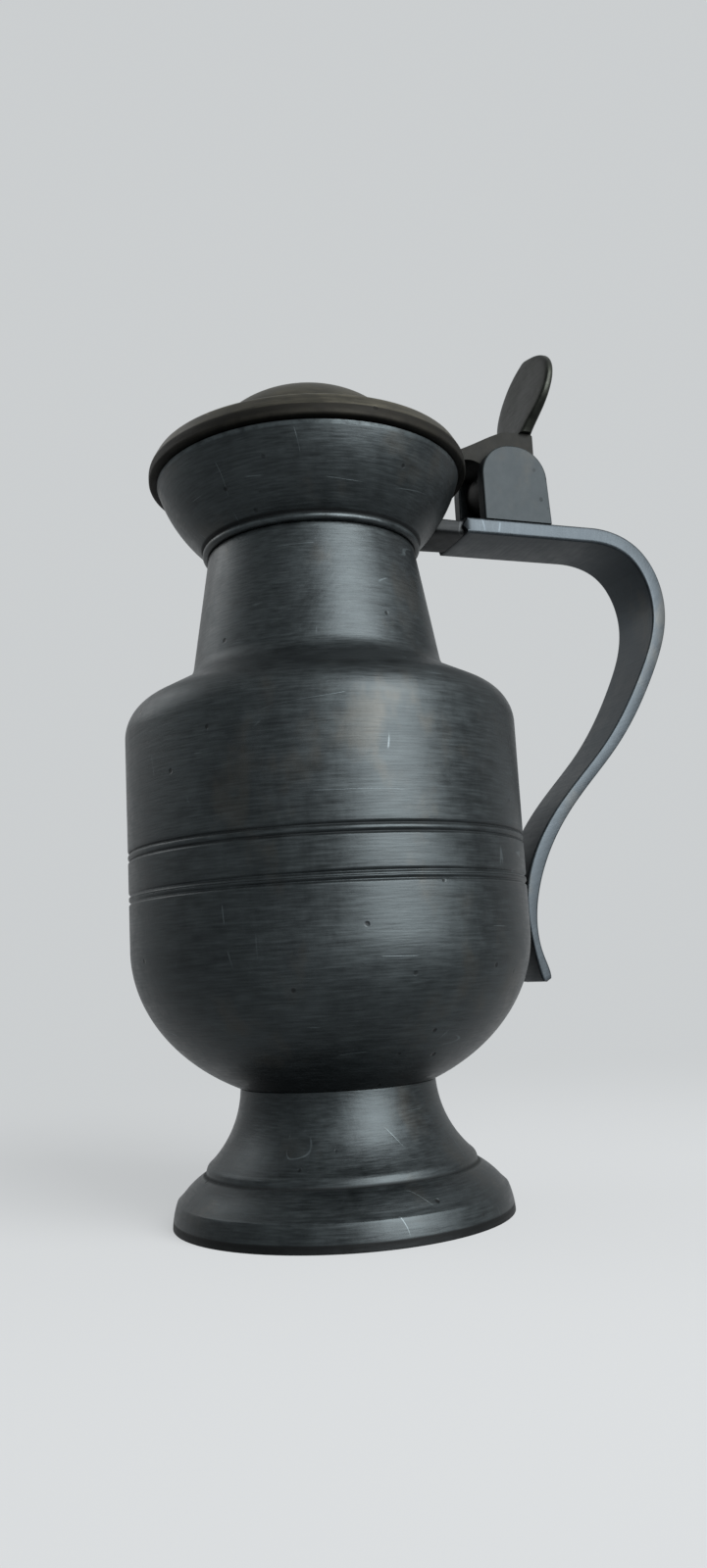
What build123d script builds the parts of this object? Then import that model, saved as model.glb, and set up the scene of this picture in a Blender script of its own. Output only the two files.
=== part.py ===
from build123d import *
from math import asin, degrees
import os

# Small turned pewter jug on a spreading foot, with a strap handle and a hinged lid.
# The jug's axis is the Z axis, its foot stands on Z = 0 and its handle lies along +X.

# Foot, with a rim, a sloping step, a narrow band and a tall cove turned on it
foot_radius = 24.9
foot_wall = 1.9
foot_rim_height = 3.6
foot_rim_lean = 0.75
foot_rim_bulge = 0.15
step_radius = 23.4
step_height = 4.3
step_swell = 0.15
band_radius = 20.0
band_bottom = 7.1
band_lean = 0.3
band_top = 8.2
cove_start_radius = 18.9
cove_start = 8.9
cove_waist_radius = 15.9
cove_waist_height = 13.2
waist_radius = 14.5
waist_height = 19.0

# Belly: the bowl below the seam and the upper body above it
belly_radius = 30.0
belly_wall = 1.8
bowl_depth = 23.7
bowl_spring_height = 39.7
bowl_floor = 2.0
seam_height = 47.2
groove_spacing = 6.2
groove_line_gap = 1.1
groove_line_width = 0.7
groove_depth = 0.35
shoulder_height = 75.0
shoulder_round = 6.3
neck_base_radius = 19.6
neck_base_height = 80.5
neck_base_round = 4.0
neck_top_radius = 16.4
neck_top_height = 100.4
neck_wall = 1.8

# Collar: the mouth, a cup that swells from a fine bead on the neck
bead_rise = 0.9
bead_height = 1.2
collar_height = 12.1
mouth_radius = 24.2
mouth_wall = 1.7
mouth_swell = 1.2

# Lid: a rounded edge, a steep bevel, a flat, a turned dome and a lip that drops into the mouth
lid_seat_gap = 0.15
lid_radius = 25.4
lid_edge = 1.65
lid_edge_round = 0.5
lid_bevel = 1.2
lid_bevel_rise = 2.1
lid_wall = 1.8
dome_radius = 16.6
dome_rise = 11.4
dome_wall = 1.5
crown_angle = 88
lip_clearance = 1.0
lip_depth = 1.6
lip_wall = 1.3

# Hinge: two ears soldered on the strap, a pin, and the lever's knuckle between the ears
hinge_reach = 34.8
hinge_rise = 2.1
ear_radius = 6.2
ear_taper = 0.6
ear_corner = 5.6
ear_thickness = 2.2
ear_edge_round = 0.3
pin_diameter = 2.4
pin_press_clearance = 0.01
pin_running_clearance = 0.06
pin_cover = 1.0
knuckle_radius = 4.9
knuckle_side_clearance = 0.15

# Strap handle, seen from the side: its thickness, width, ends and reach
strap_width = 11.6
strap_tail_width = 7.6
strap_thickness = 2.7
strap_tail_thickness = 2.1
strap_start = 24.6
strap_straight = 24.0
strap_drop = 5.0
strap_reach = 62.0
strap_belly_gap = 1.6
tail_flare = 2.5
tail_height = 31.5
solder_gap = 0.04
top_seat_width = 9.6
belly_seat_width = 6.0
seat_length = 9.0
seat_drop = 2.5

# Points along the strap's back: in from its reach and down from its top, then off the belly
elbow_inset = 4.7
elbow_drop = 2.8
reach_drop = 12.6
back_inset = 3.4
back_drop = 25.0
sweep_inset = 11.4
sweep_drop = 37.6
approach_gap = 8.7
approach_rise = 11.2
waist_drop = 0.5
tail_rise = 4.6
tail_round = 0.5
tail_slant = 0.8

# Lever from the lid to the hinge, and the leaf-shaped thumbpiece on it
lever_foot_length = 5.6
lever_foot_inset = 0.3
lever_head_rise = 9.8
lever_head_chamfer = 0.3
lever_toe = 1.2
lever_arch_rise = 3.2
lever_arch_gap = 1.8
lever_rise_inset = 5.8
lever_rise_drop = 2.6
leaf_width = 18.4
leaf_root_width = 8.8
leaf_height = 15.4
leaf_thickness = 2.8
leaf_lean = 4.2
leaf_bow = 0.45
leaf_setback = 2.2
leaf_tip_thickness = 1.9

mouth_height = neck_top_height + collar_height
strap_top = mouth_height - strap_drop
hinge_height = mouth_height + hinge_rise
lever_head_height = hinge_height + lever_head_rise
lid_underside = mouth_height + lid_seat_gap
lid_edge_top = lid_underside + lid_edge
lid_crest_radius = lid_radius - lid_bevel
lid_top = lid_edge_top + lid_bevel_rise
lid_ceiling = lid_top - lid_wall
strap_half = strap_width / 2
ear_inside = strap_half - ear_thickness
knuckle_half = ear_inside - knuckle_side_clearance
os.makedirs("parts", exist_ok=True)


def groove_cutter(height):
    """Closed triangle that cuts one fine turned line into the belly."""
    half = groove_line_width / 2
    outside = belly_radius + groove_depth
    slope = half * outside / belly_radius
    return [(outside, height - slope * 2), (belly_radius - groove_depth, height),
            (outside, height + slope * 2)]


# Foot: one hollow casting, turned outside, soldered under the bowl at its waist
with BuildPart() as foot:
    with BuildSketch(Plane.XZ):
        with BuildLine():
            rim_top = (foot_radius - foot_rim_lean, foot_rim_height)
            rim_middle = (foot_radius - foot_rim_lean / 2 + foot_rim_bulge, foot_rim_height / 2)
            rim = ThreePointArc((foot_radius, 0), rim_middle, rim_top)
            rim_edge = Line(rim @ 1, (step_radius, step_height))
            step_middle = ((step_radius + band_radius) / 2 + step_swell,
                           (step_height + band_bottom) / 2 + step_swell)
            step = ThreePointArc(rim_edge @ 1, step_middle, (band_radius, band_bottom))
            band = Polyline(step @ 1, (band_radius - band_lean, band_top), (cove_start_radius, cove_start))
            cove = ThreePointArc(band @ 1, (cove_waist_radius, cove_waist_height),
                                 (waist_radius, waist_height))
            seat = Line(cove @ 1, (waist_radius - foot_wall, waist_height))
            hollow = ThreePointArc(seat @ 1, (cove_waist_radius - foot_wall, cove_waist_height),
                                   (cove_start_radius - foot_wall, cove_start - foot_wall / 2))
            under = Line(hollow @ 1, (foot_radius - foot_wall, foot_rim_height - foot_wall / 2))
            rim_inside = Line(under @ 1, (foot_radius - foot_wall, 0))
            Line(rim_inside @ 1, rim @ 0)
        make_face()
    revolve(axis=Axis.Z)
foot.part.label = "foot"

# Bowl: the lower half of the belly, half an ellipse in section, closed by its own floor
floor_height = waist_height + bowl_floor
inner_radius = belly_radius - belly_wall
inner_depth = bowl_depth - belly_wall
seat_angle = -degrees(asin((bowl_spring_height - waist_height) / bowl_depth))
floor_angle = -degrees(asin((bowl_spring_height - floor_height) / inner_depth))
with BuildPart() as bowl:
    with BuildSketch(Plane.XZ):
        with BuildLine():
            spring = (0, bowl_spring_height)
            outside = EllipticalCenterArc(spring, belly_radius, bowl_depth, seat_angle,
                                          arc_size=-seat_angle)
            inside = EllipticalCenterArc(spring, inner_radius, inner_depth, floor_angle,
                                         arc_size=-floor_angle)
            Polyline(inside @ 0, (0, floor_height), (0, waist_height), outside @ 0)
            Polyline(outside @ 1, (belly_radius, seam_height), (inner_radius, seam_height), inside @ 1)
        make_face()
        with BuildLine():
            Polyline(*groove_cutter(seam_height - groove_line_gap / 2), close=True)
        make_face(mode=Mode.SUBTRACT)
    revolve(axis=Axis.Z)
bowl.part.label = "bowl"

# Upper body: belly, shoulder and neck in one casting, with the turned lines that hide the seam
with BuildPart() as upper_body:
    with BuildSketch(Plane.XZ):
        with BuildLine():
            corners = [(belly_radius, seam_height), (belly_radius, shoulder_height),
                       (neck_base_radius, neck_base_height), (neck_top_radius, neck_top_height)]
            outside = FilletPolyline(*corners, radius=[shoulder_round, neck_base_round])
            wall_corners = [(inner_radius, seam_height), (inner_radius, shoulder_height - belly_wall * 0.6),
                            (neck_base_radius - neck_wall, neck_base_height - neck_wall * 0.6),
                            (neck_top_radius - neck_wall, neck_top_height)]
            inside = FilletPolyline(*wall_corners, radius=[shoulder_round - belly_wall,
                                                           neck_base_round + neck_wall])
            Line(outside @ 0, inside @ 0)
            Line(outside @ 1, inside @ 1)
        make_face()
        half_gap = groove_line_gap / 2
        for line_height in (half_gap, groove_spacing - half_gap, groove_spacing + half_gap):
            with BuildLine():
                Polyline(*groove_cutter(seam_height + line_height), close=True)
            make_face(mode=Mode.SUBTRACT)
    revolve(axis=Axis.Z)
upper_body.part.label = "upper_body"

# Collar: the mouth cup, soldered on the neck where a fine bead covers the joint
bead_radius = neck_top_radius + bead_rise
bead_top = neck_top_height + bead_height
cup_middle = ((bead_radius + mouth_radius + mouth_swell) / 2,
              (bead_top + mouth_height - mouth_swell) / 2)
with BuildPart() as collar:
    with BuildSketch(Plane.XZ):
        with BuildLine():
            bead_seat = Line((neck_top_radius - neck_wall, neck_top_height),
                             (neck_top_radius, neck_top_height))
            bead = ThreePointArc(bead_seat @ 1, (bead_radius, neck_top_height + bead_height / 2),
                                 (bead_radius - bead_rise / 3, bead_top))
            cup = ThreePointArc(bead @ 1, cup_middle, (mouth_radius, mouth_height))
            rim = Line(cup @ 1, (mouth_radius - mouth_wall, mouth_height))
            inside = ThreePointArc(rim @ 1, (cup_middle[0] - mouth_wall, cup_middle[1] + mouth_wall / 2),
                                   (neck_top_radius - neck_wall, bead_top + mouth_wall))
            Line(inside @ 1, bead_seat @ 0)
        make_face()
    revolve(axis=Axis.Z)
collar.part.label = "collar"

# Lid: cast and turned in one piece, hollow under its dome
lip_radius = mouth_radius - mouth_wall - lip_clearance
with BuildPart() as lid:
    with BuildSketch(Plane.XZ):
        with BuildLine():
            dome = EllipticalCenterArc((0, lid_top), dome_radius, dome_rise, 0, arc_size=crown_angle)
            hollow = EllipticalCenterArc((0, lid_top), dome_radius - dome_wall, dome_rise - dome_wall,
                                         0, arc_size=crown_angle)
            Polyline(dome @ 1, (0, (dome @ 1).Y), (0, (hollow @ 1).Y), hollow @ 1)
            Polyline(dome @ 0, (lid_crest_radius, lid_top), (lid_radius, lid_edge_top),
                     (lid_radius, lid_underside), (lip_radius, lid_underside),
                     (lip_radius, lid_underside - lip_depth),
                     (lip_radius - lip_wall, lid_underside - lip_depth),
                     (lip_radius - lip_wall, lid_ceiling), (dome_radius - dome_wall, lid_ceiling),
                     hollow @ 0)
        make_face()
    revolve(axis=Axis.Z)
    widest_edges = lid.edges().filter_by(GeomType.CIRCLE).sort_by(SortBy.RADIUS)[-2:]
    fillet(widest_edges, radius=lid_edge_round)
lid.part.label = "lid"

# Handle: one bent strap, outlined in the plane of the handle, with two narrow seats that
# reach the collar and the belly, where it is soldered; its sides close in towards the tail
belly_side = belly_radius + strap_belly_gap
bend_start = strap_start + strap_straight
seat_height = seam_height - seat_drop
waist_outside = (belly_side + strap_tail_thickness, seat_height - waist_drop)
tail_inside = (belly_side + tail_flare - tail_round, tail_height + tail_round)
tail_outside = (belly_side + tail_flare + tail_round * 2, tail_height + tail_round + tail_slant)
with BuildPart() as handle:
    with BuildSketch(Plane.XZ):
        with BuildLine():
            top = Line((strap_start, strap_top), (bend_start, strap_top))
            outside = Spline(top @ 1, (strap_reach - elbow_inset, strap_top - elbow_drop),
                             (strap_reach, strap_top - reach_drop),
                             (strap_reach - back_inset, strap_top - back_drop),
                             (strap_reach - sweep_inset, strap_top - sweep_drop),
                             (belly_side + approach_gap, seam_height + approach_rise), waist_outside,
                             (belly_side + tail_flare, tail_height + tail_rise), tail_outside,
                             tangents=[(1, 0), (-0.1, -1)], tangent_scalars=[1.0, 0.8])
            tail = ThreePointArc(outside @ 1, (belly_side + tail_flare + tail_round * 0.4, tail_height),
                                 tail_inside)
            inside = Spline(tail @ 1, (belly_side + strap_tail_thickness / 3, tail_height + tail_rise * 1.3),
                            (belly_side, seat_height),
                            (belly_side + approach_gap - strap_thickness * 0.85,
                             seam_height + approach_rise + strap_thickness * 0.3),
                            (strap_reach - sweep_inset - strap_thickness * 0.93,
                             strap_top - sweep_drop + strap_thickness * 0.15),
                            (strap_reach - back_inset - strap_thickness, strap_top - back_drop),
                            (strap_reach - strap_thickness, strap_top - reach_drop - strap_thickness * 0.15),
                            (strap_reach - elbow_inset - strap_thickness * 0.7,
                             strap_top - elbow_drop - strap_thickness * 0.74),
                            (bend_start - strap_thickness * 0.22, strap_top - strap_thickness),
                            tangents=[(-0.35, 1), (-1, 0)], tangent_scalars=[0.8, 1.0])
            Polyline(inside @ 1, (strap_start, strap_top - strap_thickness), top @ 0)
        make_face()
    extrude(amount=strap_half, both=True)
    with BuildSketch(Plane.YZ):
        with BuildLine():
            Polyline((-strap_half, strap_top), (-strap_half, strap_top - strap_thickness),
                     (-strap_tail_width / 2, tail_height), (strap_tail_width / 2, tail_height),
                     (strap_half, strap_top - strap_thickness), (strap_half, strap_top), close=True)
        make_face()
    extrude(amount=strap_reach * 2, mode=Mode.INTERSECT)
    with BuildSketch(Plane.YZ.offset(neck_top_radius)):
        with Locations((0, strap_top - strap_thickness / 2)):
            Rectangle(top_seat_width, strap_thickness)
    extrude(amount=strap_start - neck_top_radius)
    with BuildSketch(Plane.YZ.offset(inner_radius)):
        with Locations((0, seat_height)):
            Rectangle(belly_seat_width, seat_length)
    extrude(amount=belly_side - inner_radius + strap_tail_thickness / 3)
    with BuildSketch(Plane.XZ):
        with BuildLine():
            cup_clear = ThreePointArc((bead_radius + solder_gap, bead_top),
                                      (cup_middle[0] + solder_gap, cup_middle[1]),
                                      (mouth_radius + solder_gap, mouth_height))
            Polyline(cup_clear @ 1, (0, mouth_height), (0, bead_top), cup_clear @ 0)
        make_face()
    revolve(axis=Axis.Z, mode=Mode.SUBTRACT)
    with Locations((0, 0, seat_height)):
        Cylinder(belly_radius + solder_gap, seat_length * 2, mode=Mode.SUBTRACT)
handle.part.label = "handle"

# Hinge ears: a round-topped cheek on each side of the strap; the front one hides the pin's end
ear_foot = strap_top + solder_gap
pin_radius = pin_diameter / 2
ears = []
for name, cheek_side, hole_side, hole_depth in (
        ("front_hinge_ear", ear_inside, ear_inside, ear_thickness - pin_cover),
        ("rear_hinge_ear", -strap_half, -strap_half, ear_thickness)):
    with BuildPart() as ear:
        with BuildSketch(Plane.XZ.offset(cheek_side)):
            with BuildLine():
                cheek = FilletPolyline((hinge_reach - ear_radius, ear_foot),
                                       (hinge_reach - ear_radius, hinge_height + ear_radius),
                                       (hinge_reach + ear_radius - ear_taper, hinge_height + ear_radius),
                                       (hinge_reach + ear_radius, ear_foot), radius=ear_corner)
                Line(cheek @ 1, cheek @ 0)
            make_face()
        extrude(amount=ear_thickness)
        fillet(ear.edges().filter_by(GeomType.CIRCLE), radius=ear_edge_round)
        with BuildSketch(Plane.XZ.offset(hole_side)):
            with Locations((hinge_reach, hinge_height)):
                Circle(pin_radius + pin_press_clearance)
        extrude(amount=hole_depth, mode=Mode.SUBTRACT)
    ear.part.label = name
    ears.append(ear)

# Hinge pin: driven in from the back, its end peened flush on the rear ear
with BuildPart() as hinge_pin:
    with BuildSketch(Plane.XZ.offset(-strap_half)):
        with Locations((hinge_reach, hinge_height)):
            Circle(pin_radius)
    extrude(amount=strap_width - pin_cover - pin_press_clearance)
hinge_pin.part.label = "hinge_pin"

# Lid lever: soldered on the flange, arched over the gap to the knuckle that turns on the pin
lever_foot = lid_top + solder_gap
lever_end = lid_crest_radius - lever_foot_inset
lever_start = lever_end - lever_foot_length
lever_back = hinge_reach + leaf_setback + leaf_thickness
with BuildPart() as lid_lever:
    with BuildSketch(Plane.XZ):
        with BuildLine():
            crown = Spline((lever_start, lever_foot + lever_toe),
                           (hinge_reach - lever_rise_inset, lever_head_height - lever_rise_drop),
                           (hinge_reach, lever_head_height), tangents=[(1, 0.25), (1, 0.3)])
            head = Polyline(crown @ 1, (lever_back - lever_head_chamfer, lever_head_height),
                            (lever_back, lever_head_height - lever_head_chamfer),
                            (hinge_reach + knuckle_radius, hinge_height), (hinge_reach, hinge_height),
                            (hinge_reach - knuckle_radius, hinge_height + lever_arch_rise))
            arch = ThreePointArc(head @ 1, (lever_end + lever_arch_gap, lever_foot + lever_arch_gap),
                                 (lever_end, lever_foot))
            Polyline(arch @ 1, (lever_start, lever_foot), crown @ 0)
        make_face()
        with Locations((hinge_reach, hinge_height)):
            Circle(knuckle_radius)
            Circle(pin_radius + pin_running_clearance, mode=Mode.SUBTRACT)
    extrude(amount=knuckle_half, both=True)
lid_lever.part.label = "lid_lever"

# Thumbpiece: a rounded leaf set across the lever, leaning back over the handle
leaf_foot = lever_head_height + solder_gap
leaf_middle = leaf_foot + leaf_height * 0.58
leaf_face = hinge_reach + leaf_setback
leaf_bend = leaf_face + leaf_lean / 2 + leaf_bow
leaf_tip = leaf_foot + leaf_height
with BuildPart() as thumbpiece:
    with BuildSketch(Plane.XZ):
        with BuildLine():
            face = ThreePointArc((leaf_face, leaf_foot), (leaf_bend, leaf_foot + leaf_height / 2),
                                 (leaf_face + leaf_lean, leaf_tip))
            back = ThreePointArc((leaf_face + leaf_thickness, leaf_foot),
                                 (leaf_bend + leaf_thickness, leaf_foot + leaf_height / 2),
                                 (leaf_face + leaf_lean + leaf_tip_thickness, leaf_tip))
            Line(face @ 0, back @ 0)
            Line(face @ 1, back @ 1)
        make_face()
    extrude(amount=leaf_width / 2, both=True)
    with BuildSketch(Plane.YZ):
        with BuildLine():
            side = Spline((leaf_root_width / 2, leaf_foot),
                          (leaf_width * 0.42, leaf_foot + leaf_height * 0.25),
                          (leaf_width / 2, leaf_middle),
                          (leaf_width * 0.34, leaf_foot + leaf_height * 0.87),
                          (0, leaf_tip), tangents=[(0.5, 1), (-1, 0.12)])
            Line(side @ 0, (0, leaf_foot))
            Line((0, leaf_foot), side @ 1)
        make_face()
        mirror(about=Plane.YZ)
    extrude(amount=strap_reach, mode=Mode.INTERSECT)
thumbpiece.part.label = "thumbpiece"

for piece in (foot, bowl, upper_body, collar, handle, *ears, hinge_pin, lid, lid_lever, thumbpiece):
    export_step(piece.part, f"parts/{piece.part.label}.step")
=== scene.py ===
from math import cos, pi, radians

import bmesh
import bpy
import numpy as np
from mathutils import Matrix


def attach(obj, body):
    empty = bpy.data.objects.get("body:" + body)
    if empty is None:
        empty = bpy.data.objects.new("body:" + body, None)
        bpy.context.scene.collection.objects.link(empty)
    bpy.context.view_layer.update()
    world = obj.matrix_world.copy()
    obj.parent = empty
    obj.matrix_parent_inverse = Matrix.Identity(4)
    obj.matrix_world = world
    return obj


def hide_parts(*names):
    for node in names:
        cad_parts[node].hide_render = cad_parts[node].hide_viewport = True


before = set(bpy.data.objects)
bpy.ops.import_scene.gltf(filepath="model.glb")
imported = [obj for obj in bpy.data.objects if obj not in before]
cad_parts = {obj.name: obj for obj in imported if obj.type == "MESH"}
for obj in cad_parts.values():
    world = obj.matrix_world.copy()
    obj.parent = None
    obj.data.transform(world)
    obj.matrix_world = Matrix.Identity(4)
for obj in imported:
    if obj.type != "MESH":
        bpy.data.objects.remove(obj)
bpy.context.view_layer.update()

# Foot: hollow and spreading, cast in pewter and turned with a rim, a sloping step, a narrow band
# and a tall cove up to the waist, where it is soldered under the bowl. Worn pale on its edges.
foot_radius, foot_wall, foot_edge_round = 0.0249, 0.0019, 0.0005
rim_height, rim_lean, rim_bulge = 0.0036, 0.00075, 0.00015
step_radius, step_height, step_swell = 0.0234, 0.0043, 0.00015
band_radius, band_bottom, band_lean, band_top = 0.0200, 0.0071, 0.0003, 0.0082
cove_start_radius, cove_start = 0.0189, 0.0089
cove_waist_radius, cove_waist_height = 0.0159, 0.0132
waist_radius, waist_height = 0.0145, 0.0190


def arc(start, middle, end, count=24):
    """Circle through three points: the centre is where the two chords' perpendicular bisectors
    meet, and the angle runs evenly from the start past the middle to the end."""
    (ax, ay), (bx, by), (cx, cy) = start, middle, end
    twice_area = 2 * (ax * (by - cy) + bx * (cy - ay) + cx * (ay - by))
    a, b, c = ax ** 2 + ay ** 2, bx ** 2 + by ** 2, cx ** 2 + cy ** 2
    centre = np.array([a * (by - cy) + b * (cy - ay) + c * (ay - by),
                       a * (cx - bx) + b * (ax - cx) + c * (bx - ax)]) / twice_area
    first, mid, last = (np.arctan2(*(np.array(p) - centre)[::-1]) for p in (start, middle, end))
    sweep, part = (last - first) % (2 * pi), (mid - first) % (2 * pi)
    if part > sweep:
        sweep -= 2 * pi
    angle = first + sweep * np.linspace(0, 1, count)
    radius = np.hypot(*(np.array(start) - centre))
    return centre + radius * np.stack([np.cos(angle), np.sin(angle)], 1)


def ellipse(height, across, rise, first, last, count=48):
    """Ellipse about the axis: radius is across times the cosine of the angle, and height is the
    centre's height plus rise times its sine."""
    angle = np.radians(np.linspace(first, last, count))
    return np.stack([across * np.cos(angle), height + rise * np.sin(angle)], 1)


def outline(*parts, soft=0.0003, step=0.0008):
    """One closed loop from corners and curves. Each corner sharper than 12 degrees gives way to a
    parabola whose ends lie soft along its two sides, or less than half of a short side, and
    every straight longer than step is divided evenly."""
    loop = np.concatenate([np.atleast_2d(np.array(p, float)) for p in parts])
    loop = loop[np.linalg.norm(loop - np.roll(loop, 1, 0), axis=1) > 1e-7]
    back, ahead = np.roll(loop, 1, 0) - loop, np.roll(loop, -1, 0) - loop
    long_back, long_ahead = (np.linalg.norm(v, axis=1, keepdims=True) for v in (back, ahead))
    sharp = (back * ahead).sum(1, keepdims=True) / (long_back * long_ahead) > -cos(radians(12))
    on_axis = loop[:, :1] < 1e-6
    cut = np.where(sharp & ~on_axis, np.minimum(soft, 0.45 * np.minimum(long_back, long_ahead)), 0)
    t = np.linspace(0, 1, 6)[None, :, None]
    start, end = (loop + back / long_back * cut)[:, None], (loop + ahead / long_ahead * cut)[:, None]
    curved = start * (1 - t) ** 2 + 2 * loop[:, None] * t * (1 - t) + end * t ** 2
    points = curved[(cut > 0) | (np.arange(t.size)[None] == 0)]
    ends = np.roll(points, -1, 0)
    pieces = np.maximum(1, np.ceil(np.linalg.norm(ends - points, axis=1) / step)).astype(int)
    index = np.repeat(np.arange(len(points)), pieces)
    place = np.arange(len(index)) - np.repeat(np.cumsum(pieces) - pieces, pieces)
    share = (place / pieces[index])[:, None]
    return points[index] * (1 - share) + ends[index] * share


def edge_wear_and_corner_shade(loop, reach=0.0006):
    """How far each point of a closed loop lies on an outside edge (towards 1, worn pale) or in an inside
    corner (towards -1, painted shade): the angle turned at every point, spread by a bell curve of width
    reach."""
    ahead = np.roll(loop, -1, 0) - loop
    back = loop - np.roll(loop, 1, 0)
    turn = np.arctan2(back[:, 0] * ahead[:, 1] - back[:, 1] * ahead[:, 0], (back * ahead).sum(1))
    along = np.cumsum(np.linalg.norm(back, axis=1))
    apart = np.abs(along[:, None] - along[None])
    apart = np.minimum(apart, along[-1] - apart)
    return np.clip((np.exp(-(apart / reach) ** 2) * turn[None]).sum(1) / 1.2, -1, 1)


def mesh_piece(name, points, faces, grain, wear_and_shade, body, slot, material):
    """Mesh of the given points and faces. Doubles are merged and normals turned outwards; grain
    (where the tool marks run) and wear with painted corner shade are kept as attributes for the
    material."""
    mesh = bpy.data.meshes.new(name)
    mesh.from_pydata(points.reshape(-1, 3), [], faces)
    mesh.attributes.new("grain", "FLOAT_VECTOR", "POINT").data.foreach_set("vector", grain.ravel())
    mesh.attributes.new("wear_and_shade", "FLOAT", "POINT").data.foreach_set("value", wear_and_shade.ravel())
    worked = bmesh.new()
    worked.from_mesh(mesh)
    bmesh.ops.remove_doubles(worked, verts=worked.verts, dist=2e-7)
    bmesh.ops.dissolve_degenerate(worked, edges=worked.edges, dist=1e-8)
    bmesh.ops.recalc_face_normals(worked, faces=worked.faces)
    worked.to_mesh(mesh)
    worked.free()
    mesh.shade_smooth()
    mesh.set_sharp_from_angle(angle=radians(40))
    mesh.materials.append(material)
    piece = bpy.data.objects.new(name, mesh)
    bpy.context.scene.collection.objects.link(piece)
    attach(piece, body)
    return piece


def turned(name, loop, body, slot, material, seams=(), around=224):
    """Closed loop carried round the Z axis: x = r cos a, y = r sin a, z = z. The grain is a ring
    of 30 mm at the same angle, with the distance along the loop as its third number. Edge wear and
    the painted shade of inside corners fade to nothing at the heights of the soldered seams."""
    angle = np.linspace(0, 2 * pi, around, endpoint=False)
    full = np.ones((len(loop), around))
    radius, height, grain_radius, seam_reach = loop[:, :1], loop[:, 1:], 0.03, 0.0005
    ring_x, ring_y = full * np.cos(angle), full * np.sin(angle)
    points = np.stack([radius * ring_x, radius * ring_y, height * full], -1)
    along = np.cumsum(np.linalg.norm(loop - np.roll(loop, 1, 0), axis=1))[:, None]
    grain = np.stack([grain_radius * ring_x, grain_radius * ring_y, along * full], -1)
    kept = np.prod(1 - np.exp(-((height - np.array(seams)[None]) / seam_reach) ** 2), 1)
    wear_and_shade = (edge_wear_and_corner_shade(loop) * kept)[:, None] * full
    number = np.arange(full.size).reshape(full.shape)
    below, side = np.roll(number, -1, 0), np.roll(number, -1, 1)
    faces = np.stack([number, side, np.roll(below, -1, 1), below], -1).reshape(-1, 4)
    solid = (loop[:, 0] > 1e-6) | (np.roll(loop[:, 0], -1) > 1e-6)
    faces = faces[np.repeat(solid, around)]
    return mesh_piece(name, points, faces.tolist(), grain, wear_and_shade, body, slot, material)


class Amount:
    """A number that changes over a surface. Sums and products on it add Math nodes."""

    def __init__(self, finish, socket):
        self.finish, self.socket = finish, socket

    def math(self, operation, first, second):
        return self.finish.add("ShaderNodeMath", {"operation": operation}, {0: first, 1: second})

    def __add__(self, other):
        return self.math("ADD", self, other)

    def __sub__(self, other):
        return self.math("SUBTRACT", self, other)

    def __mul__(self, other):
        return self.math("MULTIPLY", self, other)

    def __rsub__(self, other):
        return self.math("SUBTRACT", other, self)

    def __abs__(self):
        return self.math("ABSOLUTE", self, 0.0)

    __radd__, __rmul__ = __add__, __mul__

    def step(self, low, high):
        """0 at low, 1 at high, with a smooth rise between; low may be the greater."""
        return self.finish.add("ShaderNodeMapRange", {"interpolation_type": "SMOOTHSTEP"},
                               {"Value": self, "From Min": low, "From Max": high})


class Finish:
    """One material, or the sky, and the nodes that paint it."""

    def __init__(self, owner):
        owner.use_nodes = True
        self.owner, self.tree = owner, owner.node_tree
        self.tree.nodes.clear()

    def add(self, kind, settings, sockets, output=0):
        """New node of a kind: its settings first, then the values or links of its sockets."""
        node = self.tree.nodes.new(kind)
        for key, value in settings.items():
            setattr(node, key, value)
        for key, value in sockets.items():
            if isinstance(value, Amount):
                self.tree.links.new(value.socket, node.inputs[key])
            else:
                node.inputs[key].default_value = value
        return Amount(self, node.outputs[output] if node.outputs else None)

    def scaled(self, place, factors):
        return self.add("ShaderNodeVectorMath", {"operation": "MULTIPLY"}, {0: place, 1: factors})

    def noise(self, place, factors, detail=2.0, roughness=0.5, distortion=0.0):
        """Cloudy pattern from about 0.25 to 0.75, with so many cells to the metre each way."""
        return self.add("ShaderNodeTexNoise", {}, {"Vector": self.scaled(place, factors), "Scale": 1.0,
                        "Detail": detail, "Roughness": roughness, "Distortion": distortion})

    def blend(self, share, first, second):
        """Mix of two colours, which are the node's sockets 6 and 7 and its output 2."""
        return self.add("ShaderNodeMix", {"data_type": "RGBA"}, {0: share, 6: first, 7: second}, 2)


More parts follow.
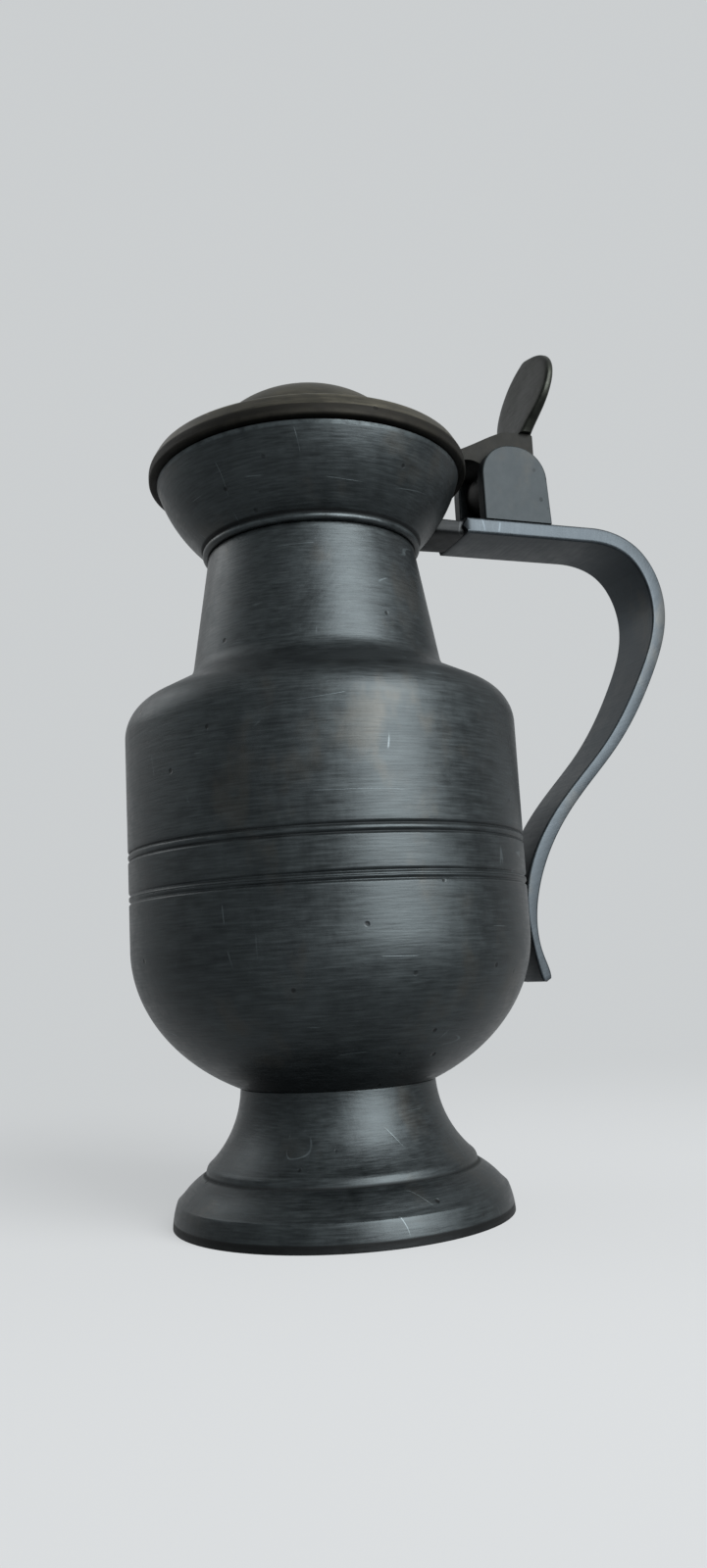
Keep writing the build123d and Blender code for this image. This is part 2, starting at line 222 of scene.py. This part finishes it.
def pewter(name, dark, pale, warm, roughness=0.44, lines=1.0, age=1.0, painted_shade_below=-1.0):
    """Old pewter: dark patina with paler clouds and warm stains, tool marks along the grain,
    fine scratches, pits, painted shade in the inside corners and bright wear on the outside edges.
    Below a height it is painted near-black as shade."""
    finish = Finish(bpy.data.materials.new(name))
    place = finish.add("ShaderNodeTexCoord", {}, {}, "Object")
    grain = finish.add("ShaderNodeAttribute", {"attribute_name": "grain"}, {}, "Vector")
    wear_and_shade = finish.add("ShaderNodeAttribute", {"attribute_name": "wear_and_shade"}, {}, "Fac")
    fine = finish.noise(grain, (260.0, 260.0, 3400.0), 2.0)
    broad = finish.noise(grain, (90.0, 90.0, 900.0), 3.0)
    cloud = finish.noise(place, (55.0, 55.0, 38.0), 5.0, 0.62, 0.4)
    mottle = finish.noise(place, (420.0, 420.0, 420.0), 4.0, 0.65)
    stain = finish.noise(place, (90.0, 90.0, 60.0), 4.0, 0.6).step(0.56, 0.70)
    flow = finish.noise(place, (70.0, 75.0, 9.0), 2.0, 0.4)
    drag = finish.noise(place, (14.0, 13.0, 110.0), 2.0, 0.4)
    patchy = finish.noise(place, (130.0, 130.0, 130.0), 2.0)
    upright = abs(flow - 0.5).step(0.0030, 0.0010) * patchy.step(0.61, 0.66)
    level = abs(drag - 0.48).step(0.0030, 0.0010) * patchy.step(0.41, 0.36)
    scratch = (upright + level) * age
    cells = finish.add("ShaderNodeTexVoronoi", {}, {
        "Vector": finish.scaled(place, (260.0, 260.0, 260.0)), "Scale": 1.0})
    pit = cells.step(0.12, 0.05) * cloud.step(0.50, 0.58) * age
    edge = wear_and_shade.step(0.25, 0.9) * mottle.step(0.30, 0.62)
    height_above = finish.add("ShaderNodeSeparateXYZ", {}, {0: place}, "Z")
    # Painted shade: below the given height the colour goes near-black and rougher.
    painted_low_band = height_above.step(painted_shade_below + 0.0001, painted_shade_below - 0.0002)
    # Painted shade: colour darkened and roughness raised in the inside corners and grooves.
    corner_shade = wear_and_shade.step(-0.15, -0.7)
    shade = (fine - 0.5) * (0.75 * lines) + (broad - 0.5) * (0.35 * lines) + (cloud - 0.5) * 0.8 \
        + (mottle - 0.5) * 0.35 + 0.42
    colour = finish.blend(shade.step(0.0, 1.0), dark, pale)
    colour = finish.blend(stain * 0.35, colour, warm)
    bright, pit_dirt_and_corner_shade, low_band_shade_colour = ((*(factor * part for part in tone[:3]), 1)
                                 for factor, tone in ((2.2, pale), (0.25, dark), (0.12, dark)))
    colour = finish.blend(scratch * 0.5 + edge * 0.45, colour, bright)
    # Pits are dark dirt; the inside corners get painted shade.
    colour = finish.blend(corner_shade * 0.75 + pit * 0.8, colour, pit_dirt_and_corner_shade)
    colour = finish.blend(painted_low_band * 0.9, colour, low_band_shade_colour)
    gloss = (cloud - 0.5) * 0.25 + (fine - 0.5) * 0.20 + (mottle - 0.5) * 0.20 + corner_shade * 0.3 \
        + painted_low_band * 0.2 - edge * 0.04 + roughness
    height = (fine - 0.5) * (0.024 * lines) + (broad - 0.5) * (0.014 * lines) + (mottle - 0.5) * 0.012 \
        - scratch * 0.010 - pit * 0.06 + (cloud - 0.5) * 0.10
    bump = finish.add("ShaderNodeBump", {}, {"Height": height, "Distance": 0.001, "Strength": 1.0})
    shader = finish.add("ShaderNodeBsdfPrincipled", {}, {"Base Color": colour, "Metallic": 0.85,
                        "Roughness": gloss, "Normal": bump, "Specular IOR Level": 0.5})
    finish.add("ShaderNodeOutputMaterial", {}, {"Surface": shader})
    return finish.owner


# The foot's rim, up to about a millimetre, is painted near-black as shade.
body_pewter = pewter("turned body pewter", (0.0095, 0.012, 0.013, 1), (0.032, 0.039, 0.0415, 1),
                     (0.034, 0.032, 0.027, 1), painted_shade_below=0.0012)
foot_loop = outline(
    arc((foot_radius, 0), (foot_radius - rim_lean / 2 + rim_bulge, rim_height / 2),
        (foot_radius - rim_lean, rim_height)),
    arc((step_radius, step_height), ((step_radius + band_radius) / 2 + step_swell,
                                     (step_height + band_bottom) / 2 + step_swell),
        (band_radius, band_bottom)), (band_radius - band_lean, band_top),
    arc((cove_start_radius, cove_start), (cove_waist_radius, cove_waist_height),
        (waist_radius, waist_height)),
    arc((waist_radius - foot_wall, waist_height), (cove_waist_radius - foot_wall, cove_waist_height),
        (cove_start_radius - foot_wall, cove_start - foot_wall / 2)),
    (foot_radius - foot_wall, rim_height - foot_wall / 2), (foot_radius - foot_wall, 0),
    soft=foot_edge_round)
foot = turned("foot_shell", foot_loop, "jug", "pewter_body", body_pewter, (waist_height,))
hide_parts("foot")

# Bowl: the lower half of the belly with its own floor, cast in pewter and turned. Its upper
# edge meets the upper body inside the lower pair of turned lines, which hides the solder.
belly_radius, belly_wall, belly_edge_round = 0.0300, 0.0018, 0.00015
spring_height, bowl_depth, bowl_floor, seam_height = 0.0397, 0.0237, 0.0020, 0.0472
line_depth, line_half, line_gap, pair_spacing = 0.00035, 0.00035, 0.0011, 0.0062


def turned_line(height):
    """Shallow V cut into the belly: its two lips and its bottom."""
    return [(belly_radius, height - line_half), (belly_radius - line_depth, height),
            (belly_radius, height + line_half)]


inner_radius, inner_depth = belly_radius - belly_wall, bowl_depth - belly_wall
floor_height = waist_height + bowl_floor
seat_angle = -np.degrees(np.arcsin((spring_height - waist_height) / bowl_depth))
floor_angle = -np.degrees(np.arcsin((spring_height - floor_height) / inner_depth))
bowl_loop = outline((0, waist_height),
                    ellipse(spring_height, belly_radius, bowl_depth, seat_angle, 0, 72),
                    turned_line(seam_height - line_gap / 2), (belly_radius, seam_height),
                    (inner_radius, seam_height),
                    ellipse(spring_height, inner_radius, inner_depth, 0, floor_angle, 40),
                    (0, floor_height), soft=belly_edge_round)
bowl = turned("bowl_shell", bowl_loop, "jug", "pewter_body", body_pewter, (waist_height, seam_height))
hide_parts("bowl")

# Upper body: belly, shoulder and tapering neck in one turned pewter casting. Two pairs of fine
# lines run round the belly, the lower pair on the seam, where it is soldered to the bowl.
shoulder_height, shoulder_round = 0.0750, 0.0063
neck_base_radius, neck_base_height, neck_base_round = 0.0196, 0.0805, 0.0040
neck_top_radius, neck_top_height, neck_wall = 0.0164, 0.1004, 0.0018
wall_drop = 0.6


def round_corner(before, corner, after, radius, count=24):
    """Arc that touches both sides of a corner: its ends lie radius / tan(half the angle) from
    the corner, and its middle lies on the angle's bisector."""
    corner = np.array(corner)
    one, two = np.array(before) - corner, np.array(after) - corner
    one, two = one / np.linalg.norm(one), two / np.linalg.norm(two)
    half = np.arccos(np.clip(one @ two, -1, 1)) / 2
    inward = (one + two) / np.linalg.norm(one + two)
    middle = corner + inward * (radius / np.sin(half) - radius)
    return arc(corner + one * radius / np.tan(half), middle, corner + two * radius / np.tan(half), count)


seam, inner_seam = (belly_radius, seam_height), (inner_radius, seam_height)
shoulder, neck_base = (belly_radius, shoulder_height), (neck_base_radius, neck_base_height)
inner_shoulder = (inner_radius, shoulder_height - wall_drop * belly_wall)
inner_base = (neck_base_radius - neck_wall, neck_base_height - wall_drop * neck_wall)
neck_top, inner_top = (neck_top_radius, neck_top_height), (neck_top_radius - neck_wall, neck_top_height)
upper_loop = outline(seam, turned_line(seam_height + line_gap / 2),
                     turned_line(seam_height + pair_spacing - line_gap / 2),
                     turned_line(seam_height + pair_spacing + line_gap / 2),
                     round_corner(seam, shoulder, neck_base, shoulder_round),
                     round_corner(shoulder, neck_base, neck_top, neck_base_round), neck_top, inner_top,
                     round_corner(inner_top, inner_base, inner_shoulder, neck_base_round + neck_wall),
                     round_corner(inner_base, inner_shoulder, inner_seam, shoulder_round - belly_wall),
                     inner_seam, soft=belly_edge_round)
upper_body = turned("upper_body_shell", upper_loop, "jug", "pewter_body", body_pewter,
                    (seam_height, neck_top_height))
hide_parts("upper_body")

# Collar: the mouth, a turned pewter cup soldered on the neck, where a fine raised bead covers the
# joint and stays bright from wear. Its rim is flat for the lid to rest on.
bead_rise, bead_height, collar_edge_round = 0.0009, 0.0012, 0.0002
mouth_radius, mouth_height, mouth_wall, mouth_swell = 0.0242, 0.1125, 0.0017, 0.0012
bead_radius, bead_top = neck_top_radius + bead_rise, neck_top_height + bead_height
cup_foot, mouth_edge = (bead_radius - bead_rise / 3, bead_top), (mouth_radius, mouth_height)
cup_middle = ((bead_radius + mouth_radius + mouth_swell) / 2,
              (bead_top + mouth_height - mouth_swell) / 2)
collar_loop = outline(arc(neck_top, (bead_radius, neck_top_height + bead_height / 2), cup_foot, 12),
                      arc(cup_foot, cup_middle, mouth_edge, 48),
                      arc((mouth_radius - mouth_wall, mouth_height),
                          (cup_middle[0] - mouth_wall, cup_middle[1] + mouth_wall / 2),
                          (neck_top_radius - neck_wall, bead_top + mouth_wall), 40),
                      inner_top, soft=collar_edge_round)
collar = turned("collar_cup", collar_loop, "jug", "pewter_body", body_pewter, (neck_top_height,))
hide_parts("collar")

# Handle: one flat strap of cast pewter, bent level behind the mouth, round a tight bend and down
# in an open S to the belly, narrower and thinner towards its curled tail. Scraped, not turned.
strap_top, strap_start, strap_straight, strap_reach = 0.1075, 0.0246, 0.0240, 0.0620
strap_thickness, strap_half_width, tail_half_width, strap_round = 0.0027, 0.0058, 0.0038, 0.0005
belly_gap, seat_drop, tail_height, inside_lead = 0.0016, 0.0025, 0.0315, 0.0003
belly_side, seat_height = belly_radius + belly_gap, seam_height - seat_drop
strap_under, strap_bend = strap_top - strap_thickness, strap_start + strap_straight


def through(points, first, last, count):
    """Smooth curve through the points: a cubic on each span with continuous curvature over the
    chord lengths, and the given directions at its two ends."""
    points = np.array(points, float)
    chord = np.linalg.norm(np.diff(points, axis=0), axis=1)
    knot = np.concatenate([[0], np.cumsum(chord)])
    size = len(points)
    system, right = np.zeros((size, size)), np.zeros((size, 2))
    inside = np.arange(1, size - 1)
    system[inside, inside - 1], system[inside, inside + 1] = chord[1:], chord[:-1]
    system[inside, inside] = 2 * (chord[:-1] + chord[1:])
    slope = np.diff(points, axis=0) / chord[:, None]
    right[1:-1] = 3 * (chord[1:, None] * slope[:-1] + chord[:-1, None] * slope[1:])
    system[0, 0] = system[-1, -1] = 1
    right[0], right[-1] = np.array(first) / np.hypot(*first), np.array(last) / np.hypot(*last)
    speed = np.linalg.solve(system, right)
    at = np.linspace(0, knot[-1], count)
    span = np.clip(np.searchsorted(knot, at, side="right") - 1, 0, size - 2)
    t, wide = ((at - knot[span]) / chord[span])[:, None], chord[span][:, None]
    return (points[span] * (1 + 2 * t) * (1 - t) ** 2 + points[span + 1] * t ** 2 * (3 - 2 * t)
            + wide * (speed[span] * t * (1 - t) ** 2 - speed[span + 1] * t ** 2 * (1 - t)))


def strap_surface(outside, inside, half_width):
    """Strip between an outside and an inside edge: at each station a rounded rectangle, whose
    corners are quarter circles of strap_round, stands across the strap's own plane. It closes
    in over the last half millimetre at both ends."""
    middle, reach = (outside + inside) / 2, (outside - inside) / 2
    thick = np.linalg.norm(reach, axis=1)
    away = reach / thick[:, None]
    along = np.concatenate([[0], np.cumsum(np.linalg.norm(np.diff(middle, axis=0), axis=1))])
    to_end = np.minimum(along, along[-1] - along) / strap_round
    close = np.sqrt(np.clip(1 - np.clip(1 - to_end, 0, 1) ** 2, 0, 1))
    quarter = np.radians(np.linspace(0, 90, 7))
    quadrant = np.arange(4)[:, None]
    turn = (quarter[None] + quadrant * pi / 2).ravel()
    sign_y = np.repeat([1, -1, -1, 1], 7)
    sign_a = np.repeat([1, 1, -1, -1], 7)
    corner = np.minimum(strap_round, thick * 0.45)[:, None]
    across = sign_y * (half_width[:, None] - strap_round * (1 - close[:, None]) - corner) \
        + corner * np.cos(turn)
    lift = (sign_a * (thick[:, None] - corner) + corner * np.sin(turn)) * close[:, None].clip(0.02)
    x = middle[:, :1] + away[:, :1] * lift
    z = middle[:, 1:] + away[:, 1:] * lift
    points = np.stack([x, -across, z], -1)
    stations, ring = x.shape
    grain = np.stack([across, lift, along[:, None] + 0 * x], -1)
    near_edge = np.maximum(half_width[:, None] - np.abs(across), thick[:, None] - np.abs(lift))
    # Edges worn pale; over its first millimetres from the collar the strap is darkened as painted shade.
    wear_and_shade = np.where(near_edge < 0.0004, 0.35, 0.0) - 0.8 * np.exp(-along[:, None] / 0.0012)
    number = np.arange(stations * ring).reshape(stations, ring)
    side = np.roll(number, -1, 1)
    faces = np.stack([number[:-1], side[:-1], side[1:], number[1:]], -1).reshape(-1, 4).tolist()
    return points, faces + [number[0].tolist(), number[-1, ::-1].tolist()], grain, wear_and_shade


handle_pewter = pewter("cast handle pewter", (0.012, 0.0155, 0.018, 1), (0.038, 0.047, 0.054, 1),
                       (0.048, 0.046, 0.040, 1), roughness=0.46, lines=0.45, age=0.4)
level_count, bend_count = 40, 260
bend_outside = [(strap_bend, strap_top), (0.0573, 0.1047), (strap_reach, 0.0949), (0.0586, 0.0825),
                (0.0506, 0.0699), (0.0403, 0.0584), (0.0337, 0.0442), (0.0341, 0.0361), (0.0352, 0.0320)]
bend_inside = [(0.0480, strap_under), (0.0554, 0.1027), (strap_reach - strap_thickness, 0.0945),
               (0.0559, 0.0825), (0.0481, 0.0703), (0.0380, 0.0592), (belly_side, seat_height),
               (0.0323, 0.0375), (0.0338, 0.0316)]
level_outside, level_inside = (
    np.linspace((strap_start, height), (end, height), level_count)[:-1]
    for height, end in ((strap_top, strap_bend), (strap_under, strap_bend - inside_lead)))
strap_outside = np.concatenate([level_outside, through(bend_outside, (1, 0), (-0.1, -1), bend_count)])
strap_inside = np.concatenate([level_inside, through(bend_inside, (1, 0), (0.4, -1), bend_count)])
strap_middle_height = (strap_outside[:, 1] + strap_inside[:, 1]) / 2
strap_half = np.interp(strap_middle_height, [tail_height, strap_under],
                       [tail_half_width, strap_half_width])
handle = mesh_piece("handle_strap", *strap_surface(strap_outside, strap_inside, strap_half), "jug",
                    "pewter_handle", handle_pewter)
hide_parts("handle")

# Solder seats: two narrow feet under the strap, of its own cast metal, which reach the collar and
# the belly and are soldered there. They are worn round, and their near-black colour is painted shade.
seat_pewter_painted_shade = pewter("soldered seat pewter with painted shade", (0.005, 0.006, 0.0065, 1), (0.018, 0.020, 0.021, 1),
                     (0.034, 0.030, 0.024, 1), roughness=0.55, lines=0.2)


def seat(name, low, high, swell):
    """Block between two corners, as a superellipsoid of the sixth power: each of its points is
    a direction's cosines and sines raised to a third, times half of the block's size. It swells
    towards the body by a share of its height."""
    across, up = np.meshgrid(np.linspace(0, 2 * pi, 64, endpoint=False),
                             np.linspace(-pi / 2, pi / 2, 40))

    def pull(value):
        return np.sign(value) * np.abs(value) ** (1 / 3)

    unit = np.stack([pull(np.cos(up)) * pull(np.cos(across)), pull(np.cos(up)) * pull(np.sin(across)),
                     pull(np.sin(up))], -1)
    flare = 1 + swell * (0.5 - unit[..., :1] / 2) ** 2
    unit = unit * np.concatenate([np.ones_like(flare), flare, flare], -1)
    low, high = np.array(low), np.array(high)
    points = (low + high) / 2 + unit * (high - low) / 2
    number = np.arange(across.size).reshape(across.shape)
    side = np.roll(number, -1, 1)
    faces = np.stack([number[:-1], side[:-1], side[1:], number[1:]], -1).reshape(-1, 4).tolist()
    # Every point of a seat is marked for a light painted shade.
    mesh_piece(name, points, faces, points, np.full(across.shape, -0.3), "jug", "pewter_handle",
               seat_pewter_painted_shade)


seat("collar_seat", (0.0192, -0.0048, strap_under), (0.0262, 0.0048, strap_top - 0.0001), swell=0.04)
seat("belly_seat", (0.0293, -0.0028, seat_height - 0.0043), (0.0326, 0.0028, seat_height + 0.0043),
     swell=0.12)

# Hinge ears and pin: two round-topped cast pewter cheeks soldered on the strap, and the pewter pin
# between them. It is driven in from the back, where its peened end shows, and the front cheek
# covers its other end.
ear_pewter = pewter("hinge cheek pewter", (0.007, 0.009, 0.010, 1), (0.020, 0.025, 0.0275, 1),
                    (0.024, 0.023, 0.020, 1), roughness=0.56, lines=0.3)
for name in ("front_hinge_ear", "rear_hinge_ear"):
    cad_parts[name].material_slots[0].material = ear_pewter
pin_pewter = pewter("peened pin pewter", (0.05, 0.052, 0.055, 1), (0.20, 0.205, 0.21, 1),
                    (0.08, 0.07, 0.06, 1), roughness=0.42, lines=0.2)
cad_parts["hinge_pin"].material_slots[0].material = pin_pewter

# Lid: a rounded edge painted near-black as shade, a steep bevel, a flat and a turned dome, with a lip
# that drops inside the mouth, all one pewter casting. It is browner and greener than the body, with a
# dull sheen.
lid_underside, lid_edge_top, lid_top, lid_radius = 0.11265, 0.1143, 0.1164, 0.0254
lid_bevel, lid_wall, lid_edge_round = 0.0012, 0.0018, 0.0005
dome_radius, dome_rise, dome_wall = 0.0166, 0.0114, 0.0015
lip_clearance, lip_wall, lip_depth = 0.0010, 0.0013, 0.0016
# Below the top of its edge, lip included, the lid is painted near-black as shade.
lid_pewter = pewter("turned lid pewter", (0.015, 0.0145, 0.0112, 1), (0.052, 0.0485, 0.036, 1),
                    (0.052, 0.043, 0.026, 1), roughness=0.50, painted_shade_below=lid_edge_top + 0.0001)
lip_radius, lip_foot = mouth_radius - mouth_wall - lip_clearance, lid_underside - lip_depth
lid_ceiling, hollow_radius = lid_top - lid_wall, dome_radius - dome_wall
lid_loop = outline((lip_radius, lip_foot), (lip_radius, lid_underside), (lid_radius, lid_underside),
                   (lid_radius, lid_edge_top), (lid_radius - lid_bevel, lid_top),
                   ellipse(lid_top, dome_radius, dome_rise, 0, 90, 64),
                   ellipse(lid_top, hollow_radius, dome_rise - dome_wall, 90, 0, 40),
                   (hollow_radius, lid_ceiling), (lip_radius - lip_wall, lid_ceiling),
                   (lip_radius - lip_wall, lip_foot), soft=lid_edge_round)
lid = turned("lid_cover", lid_loop, "lid", "pewter_lid", lid_pewter)
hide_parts("lid")

# Lid lever: a cast pewter arm soldered on the lid's flat. It arches over the gap behind the mouth
# to the knuckle that turns on the pin, and carries the thumbpiece.
# The lever's near-black colour is painted shade.
lever_pewter_painted_shade = pewter("cast lever pewter with painted shade", (0.002, 0.0022, 0.002, 1), (0.007, 0.0075, 0.0065, 1),
                      (0.012, 0.010, 0.007, 1), roughness=0.62, lines=0.2)
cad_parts["lid_lever"].material_slots[0].material = lever_pewter_painted_shade

# Thumbpiece: a rounded leaf of cast pewter, soldered across the lever and leaning back over the
# handle. Its edges are rubbed round by thumbs, and it bows a little to the back.
leaf_pewter = pewter("cast thumbpiece pewter", (0.003, 0.0036, 0.003, 1), (0.011, 0.0125, 0.010, 1),
                     (0.022, 0.019, 0.012, 1), roughness=0.48, lines=0.15)
leaf_foot, leaf_height, leaf_face, leaf_lean, leaf_bow = 0.12444, 0.0154, 0.0370, 0.0042, 0.00045
leaf_thickness, leaf_tip_thickness, leaf_power = 0.0028, 0.0019, 3.6
leaf_side = [(0.0044, 0), (0.00773, 0.00385), (0.0092, 0.00893), (0.00626, 0.01340), (0.0, leaf_height)]


def leaf_surface(stations=90, ring=64):
    """Leaf: at each height u the half width follows a smooth curve through the outline's
    points, and the section round it is a flat superellipse whose thickness falls towards the
    tip. The middle line bends on an arc from foot to tip."""
    side = through(leaf_side, (0.5, 1), (-1, 0.12), stations)
    bend = arc((leaf_face, 0), (leaf_face + leaf_lean / 2 + leaf_bow, leaf_height / 2),
               (leaf_face + leaf_lean, leaf_height), 200)
    level, half_width = side[:, 1], np.maximum(side[:, 0], 0.00002)
    face = np.interp(level, bend[:, 1], bend[:, 0])
    thick = np.interp(level, [0, leaf_height], [leaf_thickness, leaf_tip_thickness])
    turn = np.linspace(0, 2 * pi, ring, endpoint=False)
    flat_x, flat_y = (np.sign(v) * np.abs(v) ** (2 / leaf_power) for v in (np.cos(turn), np.sin(turn)))
    body = np.minimum(thick / 2, half_width)[:, None]
    x = (face + thick / 2)[:, None] + body * flat_y[None]
    y = half_width[:, None] * flat_x[None]
    z = leaf_foot + level[:, None] + 0 * x
    points = np.stack([x, y, z], -1)
    wear_and_shade = np.abs(flat_x)[None] ** 6 * 0.8 + 0 * x
    number = np.arange(stations * ring).reshape(stations, ring)
    next_one = np.roll(number, -1, 1)
    faces = np.stack([number[:-1], next_one[:-1], next_one[1:], number[1:]], -1).reshape(-1, 4).tolist()
    return points, faces + [number[0].tolist(), number[-1, ::-1].tolist()], points, wear_and_shade


thumbpiece = mesh_piece("thumbpiece_leaf", *leaf_surface(), "lid", "pewter_thumbpiece", leaf_pewter)
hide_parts("thumbpiece")

# Floor, light and camera: a plain pale floor that fades into a pale background, soft light from
# a large panel in front on the right and a weaker one behind, and the photograph's viewpoint.
background, sky_light = (0.60, 0.62, 0.63, 1), 0.55


def seen_rays(finish):
    """1 for a ray from the camera, off a gloss or through glass, and 0 for one that lights."""
    camera_ray, gloss_ray, glass_ray = (finish.add("ShaderNodeLightPath", {}, {}, kind) for kind in
                                        ("Is Camera Ray", "Is Glossy Ray", "Is Transmission Ray"))
    return camera_ray + gloss_ray + glass_ray


paper = Finish(bpy.data.materials.new("pale paper"))
away = paper.add("ShaderNodeVectorMath", {"operation": "LENGTH"},
                 {0: paper.add("ShaderNodeTexCoord", {}, {}, "Object")}, "Value")
glow = paper.add("ShaderNodeEmission", {}, {"Color": background, "Strength": 1.0})
matt = paper.add("ShaderNodeBsdfDiffuse", {}, {"Color": (0.50, 0.51, 0.52, 1)})
fade = seen_rays(paper) * (away.step(0.05, 0.30) * 0.25 + 0.75)
sheet = paper.add("ShaderNodeMixShader", {}, {0: fade, 1: matt, 2: glow})
paper.add("ShaderNodeOutputMaterial", {}, {"Surface": sheet})
floor_mesh = bpy.data.meshes.new("floor")
floor_mesh.from_pydata([(-4, -4, 0), (4, -4, 0), (4, 4, 0), (-4, 4, 0)], [], [(0, 1, 2, 3)])
floor_mesh.materials.append(paper.owner)
floor = bpy.data.objects.new("floor", floor_mesh)
bpy.context.scene.collection.objects.link(floor)

sky = Finish(bpy.data.worlds.new("studio"))
soft = sky.add("ShaderNodeBackground", {}, {"Color": (1, 1, 1, 1), "Strength": sky_light})
white = sky.add("ShaderNodeBackground", {}, {"Color": background, "Strength": 1.0})
both = sky.add("ShaderNodeMixShader", {}, {0: seen_rays(sky), 1: soft, 2: white})
sky.add("ShaderNodeOutputWorld", {}, {"Surface": both})
bpy.context.scene.world = sky.owner


def panel(name, place, aim, width, height, watts):
    """Soft rectangular lamp that faces a point."""
    lamp = bpy.data.lights.new(name, "AREA")
    lamp.shape, lamp.size, lamp.size_y, lamp.energy = "RECTANGLE", width, height, watts
    holder = bpy.data.objects.new(name, lamp)
    back = np.array(place, float) - np.array(aim, float)
    back /= np.linalg.norm(back)
    side = np.cross((0, 0, 1), back)
    side /= np.linalg.norm(side)
    rise = np.cross(back, side)
    holder.matrix_world = Matrix([[side[i], rise[i], back[i], place[i]] for i in range(3)]
                                 + [[0, 0, 0, 1]])
    holder.visible_camera = False
    bpy.context.scene.collection.objects.link(holder)


panel("front panel", (0.21, -0.58, 0.32), (0, 0, 0.07), 0.46, 0.60, 16)
panel("back panel", (-0.50, 0.42, 0.50), (0, 0, 0.07), 0.40, 0.40, 1.5)

camera = bpy.data.objects.new("camera", bpy.data.cameras.new("camera"))
camera.data.lens, camera.data.sensor_width, camera.data.clip_start = 27.0, 36.0, 0.01
right, up = (0.94124, -0.33340, -0.05393), (-0.00261, -0.16686, 0.98598)
forward, station = (0.33773, 0.92791, 0.15793), (-0.0572, -0.1709, 0.0349)
camera.matrix_world = Matrix([[right[i], up[i], -forward[i], station[i]] for i in range(3)]
                             + [[0, 0, 0, 1]])
bpy.context.scene.collection.objects.link(camera)
bpy.context.scene.camera = camera
bpy.context.scene.view_settings.view_transform = "Standard"
